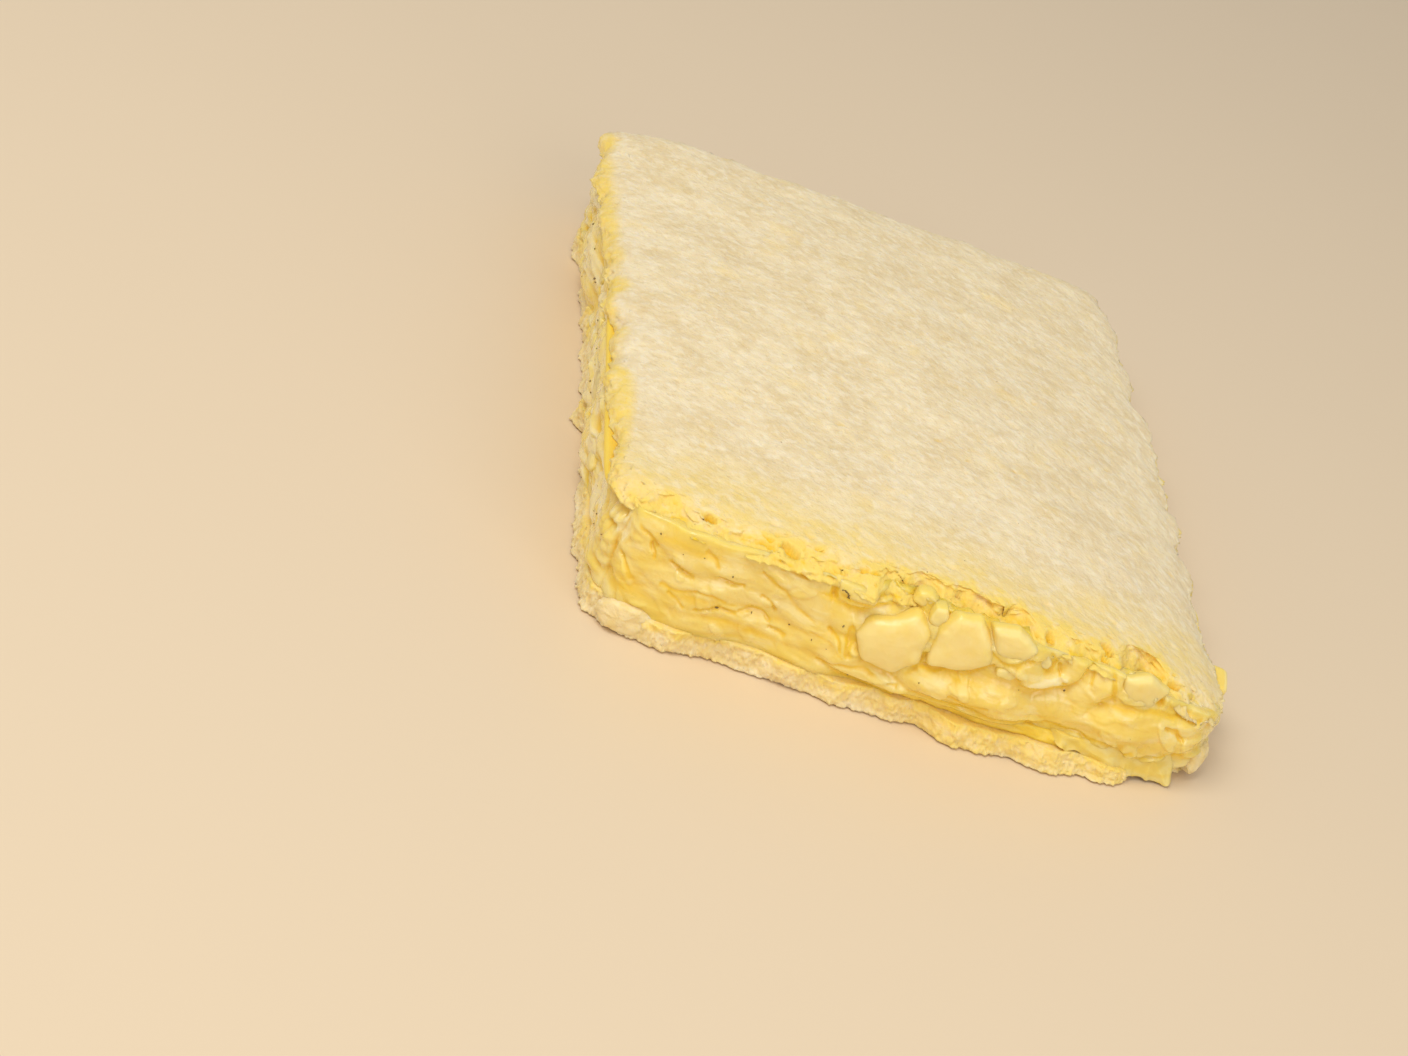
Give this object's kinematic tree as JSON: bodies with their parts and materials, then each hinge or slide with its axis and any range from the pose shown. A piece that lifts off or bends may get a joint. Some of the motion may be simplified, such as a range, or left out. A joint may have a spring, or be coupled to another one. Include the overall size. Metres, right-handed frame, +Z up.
{
  "type": "sandwich",
  "caption": "Crustless white bread sandwich lying flat, filled with cheese slices and a creamy mass of shredded chicken and chopped egg that bulges at the cut sides.",
  "frame": {"origin": "on the resting surface, under the middle of the sandwich's box", "axes": "+Z up through the layers; -Y towards the cut side that shows the filling best; +X towards that side's right end, where the sandwich is thinner; +Y along the longest side"},
  "size_m": [0.0978, 0.1334, 0.022],
  "materials": {
    "bread": "soft fine crumb, matte",
    "cheese": "smooth, soft sheen",
    "cream": "moist and creamy, glossy",
    "egg_white": "smooth, moist, slightly translucent"
  },
  "bodies": {
    "root": {"bread_bottom": "bread", "cheese_lower": "cheese", "filling": "cream", "egg_white_1": "egg_white", "egg_white_2": "egg_white", "egg_white_3": "egg_white", "egg_white_4": "egg_white", "cheese_upper": "cheese", "bread_top": "bread"}
  },
  "joints": []
}
